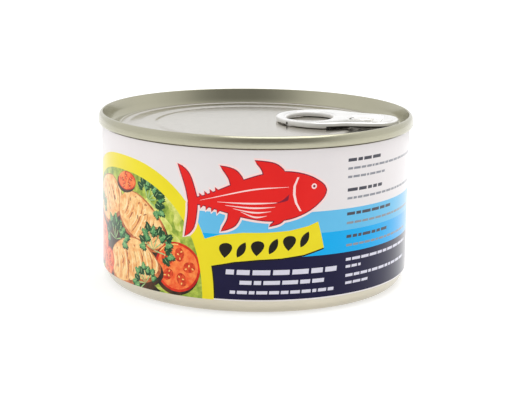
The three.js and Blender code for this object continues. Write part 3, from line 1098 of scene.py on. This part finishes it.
# Back of the label: a plain table of rules and bars
TABLE_LEFT = 74
TABLE_RIGHT = 108
TABLE_BOTTOM = 6
TABLE_TOP = 40.5
TABLE_ROWS = 11
ROW_HEIGHT = 3.02
RULE = 0.2
THICK_RULE = 0.5
rules_left, rules_right, rules_bottom = TABLE_LEFT + 0.8, TABLE_RIGHT - 0.8, TABLE_BOTTOM + 0.6
lay("paper", box(TABLE_LEFT, TABLE_BOTTOM, TABLE_RIGHT, TABLE_TOP))
for left in (rules_left, rules_right - RULE):
    lay("print_grey", box(left, rules_bottom, left + RULE, rules_bottom + 33.3))
for row in range(TABLE_ROWS + 1):
    level = rules_bottom + row * ROW_HEIGHT
    thickness = THICK_RULE if row in (0, TABLE_ROWS) else RULE
    lay("print_grey", box(rules_left, level, rules_right, level + thickness))
    if row < TABLE_ROWS:
        bars("print_dark", level + 1.65, TABLE_LEFT + 2, TABLE_LEFT + 12 + (row * 5) % 9, 0.9, 300 + row)
        bars("print_grey", level + 1.65, TABLE_RIGHT - 7, TABLE_RIGHT - 2, 0.8, 330 + row)


def printed_faces():
    """Cuts the flat strip along every printed outline and the folds that bend it round the can."""
    points, outlines = [], []
    for _, outline, _ in layers:
        outlines.append(list(range(len(points), len(points) + len(outline))))
        points += outline
    folds = []
    for k in range(1, math.ceil((STRIP_END - STRIP_START) / ROUND_STEP)):
        s = STRIP_START + k * ROUND_STEP
        folds.append((len(points), len(points) + 1))
        points += [Vector((s, LABEL_BOTTOM)), Vector((s, LABEL_TOP))]
    made_points, _, faces, _, _, sources = delaunay_2d_cdt(points, folds, outlines, 1, 1e-5)
    inks = []
    for inside in sources:
        held = set(inside)
        shown = [i for i in held if layers[i][2] is None or layers[i][2] in held]
        inks.append(layers[max(shown)][0] if 0 in held else None)
    return made_points, faces, inks


flat_points, flat_faces, face_inks = printed_faces()


def wrapped(point, depth=0):
    """Where a point of the flat strip goes on the can, and the way the paper faces there."""
    s, z = point
    rise = LAP_RISE * ease(s, STRIP_END - LAP_EASE, STRIP_END - LAP)
    radius = LABEL_RADIUS - LAP_RISE + rise - depth
    angle = s / LABEL_RADIUS
    outward = Vector((math.sin(angle), -math.cos(angle), 0))
    return outward * radius * MM + Vector((0, 0, z * MM)), outward


def printed(name, tone, second, grain_size, contrast):
    """Coated paper carrying an ink: two close tones in soft patches, a slight tooth and a gloss."""
    paper, tree, shader = new_finish("print_" + name)
    set_inputs(shader, Roughness=0.3, Specular_IOR_Level=0.14, Sheen_Weight=1, Sheen_Roughness=0.35)
    place = add_node(tree, "TexCoord")
    patches = add_noise(place, "Object", 1 / (grain_size * MM), 5)
    set_inputs(patches, Roughness=0.6)
    tint = add_node(tree, "ValToRGB")
    set_stops(tint, [(0.5 - contrast, colour(*second)), (0.5 + contrast, colour(*tone))])
    tooth = add_noise(place, "Object", 2500)
    relief = add_node(tree, "Bump", Strength=0.06, Distance=0.02 * MM)
    wire(patches, "Fac", tint, "Fac")
    wire(tint, "Color", shader, "Base Color")
    wire(tooth, "Fac", relief, "Height")
    wire(relief, "Normal", shader, "Normal")
    return paper


# Each ink has its lighter and its darker tone, and the size and softness of its patches
inks = {name: printed(name, *look) for name, look in {
    "paper": ((236, 231, 231), (232, 226, 227), 14, 0.3),
    "light_blue": ((106, 195, 237), (97, 188, 233), 10, 0.3),
    "mid_blue": ((0, 177, 241), (0, 170, 238), 10, 0.3),
    "navy": ((18, 12, 60), (12, 8, 50), 8, 0.3),
    "yellow": ((243, 228, 36), (237, 218, 28), 12, 0.3),
    "red": ((236, 32, 26), (228, 24, 22), 8, 0.3),
    "wine": ((140, 22, 52), (124, 18, 46), 4, 0.3),
    "pale_rose": ((255, 226, 222), (252, 214, 212), 5, 0.3),
    "black": ((30, 24, 12), (20, 16, 8), 4, 0.3),
    "shade": ((84, 50, 26), (24, 28, 18), 2.2, 0.12),
    "lettuce": ((196, 210, 86), (116, 148, 48), 2.0, 0.14),
    "lettuce_light": ((234, 234, 140), (184, 198, 72), 1.8, 0.14),
    "tomato_skin": ((242, 58, 26), (190, 24, 16), 2.4, 0.14),
    "tomato_flesh": ((255, 150, 76), (244, 84, 40), 1.6, 0.14),
    "tomato_pulp": ((236, 88, 40), (188, 30, 18), 0.9, 0.14),
    "seed": ((255, 220, 130), (246, 188, 90), 0.8, 0.2),
    "fish_flesh": ((255, 216, 148), (240, 166, 92), 1.6, 0.12),
    "fish_light": ((255, 238, 190), (254, 216, 152), 1.2, 0.16),
    "fish_edge": ((222, 130, 74), (160, 74, 38), 1.4, 0.14),
    "fish_char": ((170, 92, 50), (120, 52, 28), 1.0, 0.16),
    "herb": ((128, 184, 118), (60, 134, 78), 1.3, 0.14),
    "herb_dark": ((44, 92, 52), (20, 56, 34), 1.2, 0.16),
    "herb_light": ((182, 216, 152), (140, 186, 112), 1.0, 0.2),
    "print_white": ((226, 224, 236), (214, 212, 228), 3, 0.3),
    "print_grey": ((150, 152, 158), (138, 140, 148), 3, 0.3),
    "print_dark": ((80, 80, 90), (68, 68, 78), 3, 0.3),
}.items()}
ink_slots = {name: slot_number for slot_number, name in enumerate(inks)}
kept = [i for i, ink in enumerate(face_inks) if ink]
front_faces = [flat_faces[i] for i in kept]
flat_count = len(flat_points)
back_faces = [[v + flat_count for v in reversed(face)] for face in front_faces]
sides = dict.fromkeys((a, b) for face in front_faces for a, b in zip(face, face[1:] + face[:1]))
edges = [(a, b) for a, b in sides if (b, a) not in sides]
edge_faces = [(b, a, a + flat_count, b + flat_count) for a, b in edges]
label_mesh = bpy.data.meshes.new("paper_label")
label_mesh.from_pydata(
    [wrapped(p)[0] for p in flat_points] + [wrapped(p, PAPER_THICKNESS)[0] for p in flat_points],
    [], front_faces + back_faces + edge_faces)
for ink_material in inks.values():
    label_mesh.materials.append(ink_material)
shown_inks = [ink_slots[face_inks[i]] for i in kept]
bare_paper = [ink_slots["paper"]] * (len(back_faces) + len(edge_faces))
label_mesh.polygons.foreach_set("material_index", shown_inks + bare_paper)
label_mesh.shade_smooth()
facing = []
for polygon in label_mesh.polygons:
    for v in polygon.vertices:
        if polygon.index < len(front_faces):
            facing.append(wrapped(flat_points[v])[1])
        elif polygon.index < 2 * len(front_faces):
            facing.append(-wrapped(flat_points[v - flat_count])[1])
        else:
            facing.append(polygon.normal.copy())

# The printed side lies on its map in three rows, one above the other, with the back above them
MAP_ROWS = 3
row_length = ROUND_STEP * math.ceil((STRIP_END - STRIP_START) / ROUND_STEP / MAP_ROWS)
row_height = LABEL_TOP - LABEL_BOTTOM + 1
map_size = max(row_length, (MAP_ROWS + 1) * row_height)
flat_map = label_mesh.uv_layers.new(name="OFBake")
for polygon in label_mesh.polygons:
    places = [flat_points[v % flat_count] for v in polygon.vertices]
    middle = sum(p.x for p in places) / len(places)
    row = min(MAP_ROWS - 1, int((middle - STRIP_START) / row_length))
    if polygon.index >= len(front_faces):
        row = MAP_ROWS
    for corner, flat_place in zip(polygon.loop_indices, places):
        flat_map.data[corner].uv = (
            ((flat_place.x - STRIP_START) % row_length if row == MAP_ROWS
             else flat_place.x - STRIP_START - row * row_length) / map_size,
            (flat_place.y - LABEL_BOTTOM + row * row_height) / map_size)
label_mesh.normals_split_custom_set(facing)

label = add_object("paper_label", label_mesh)
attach(label, "root")
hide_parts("label")
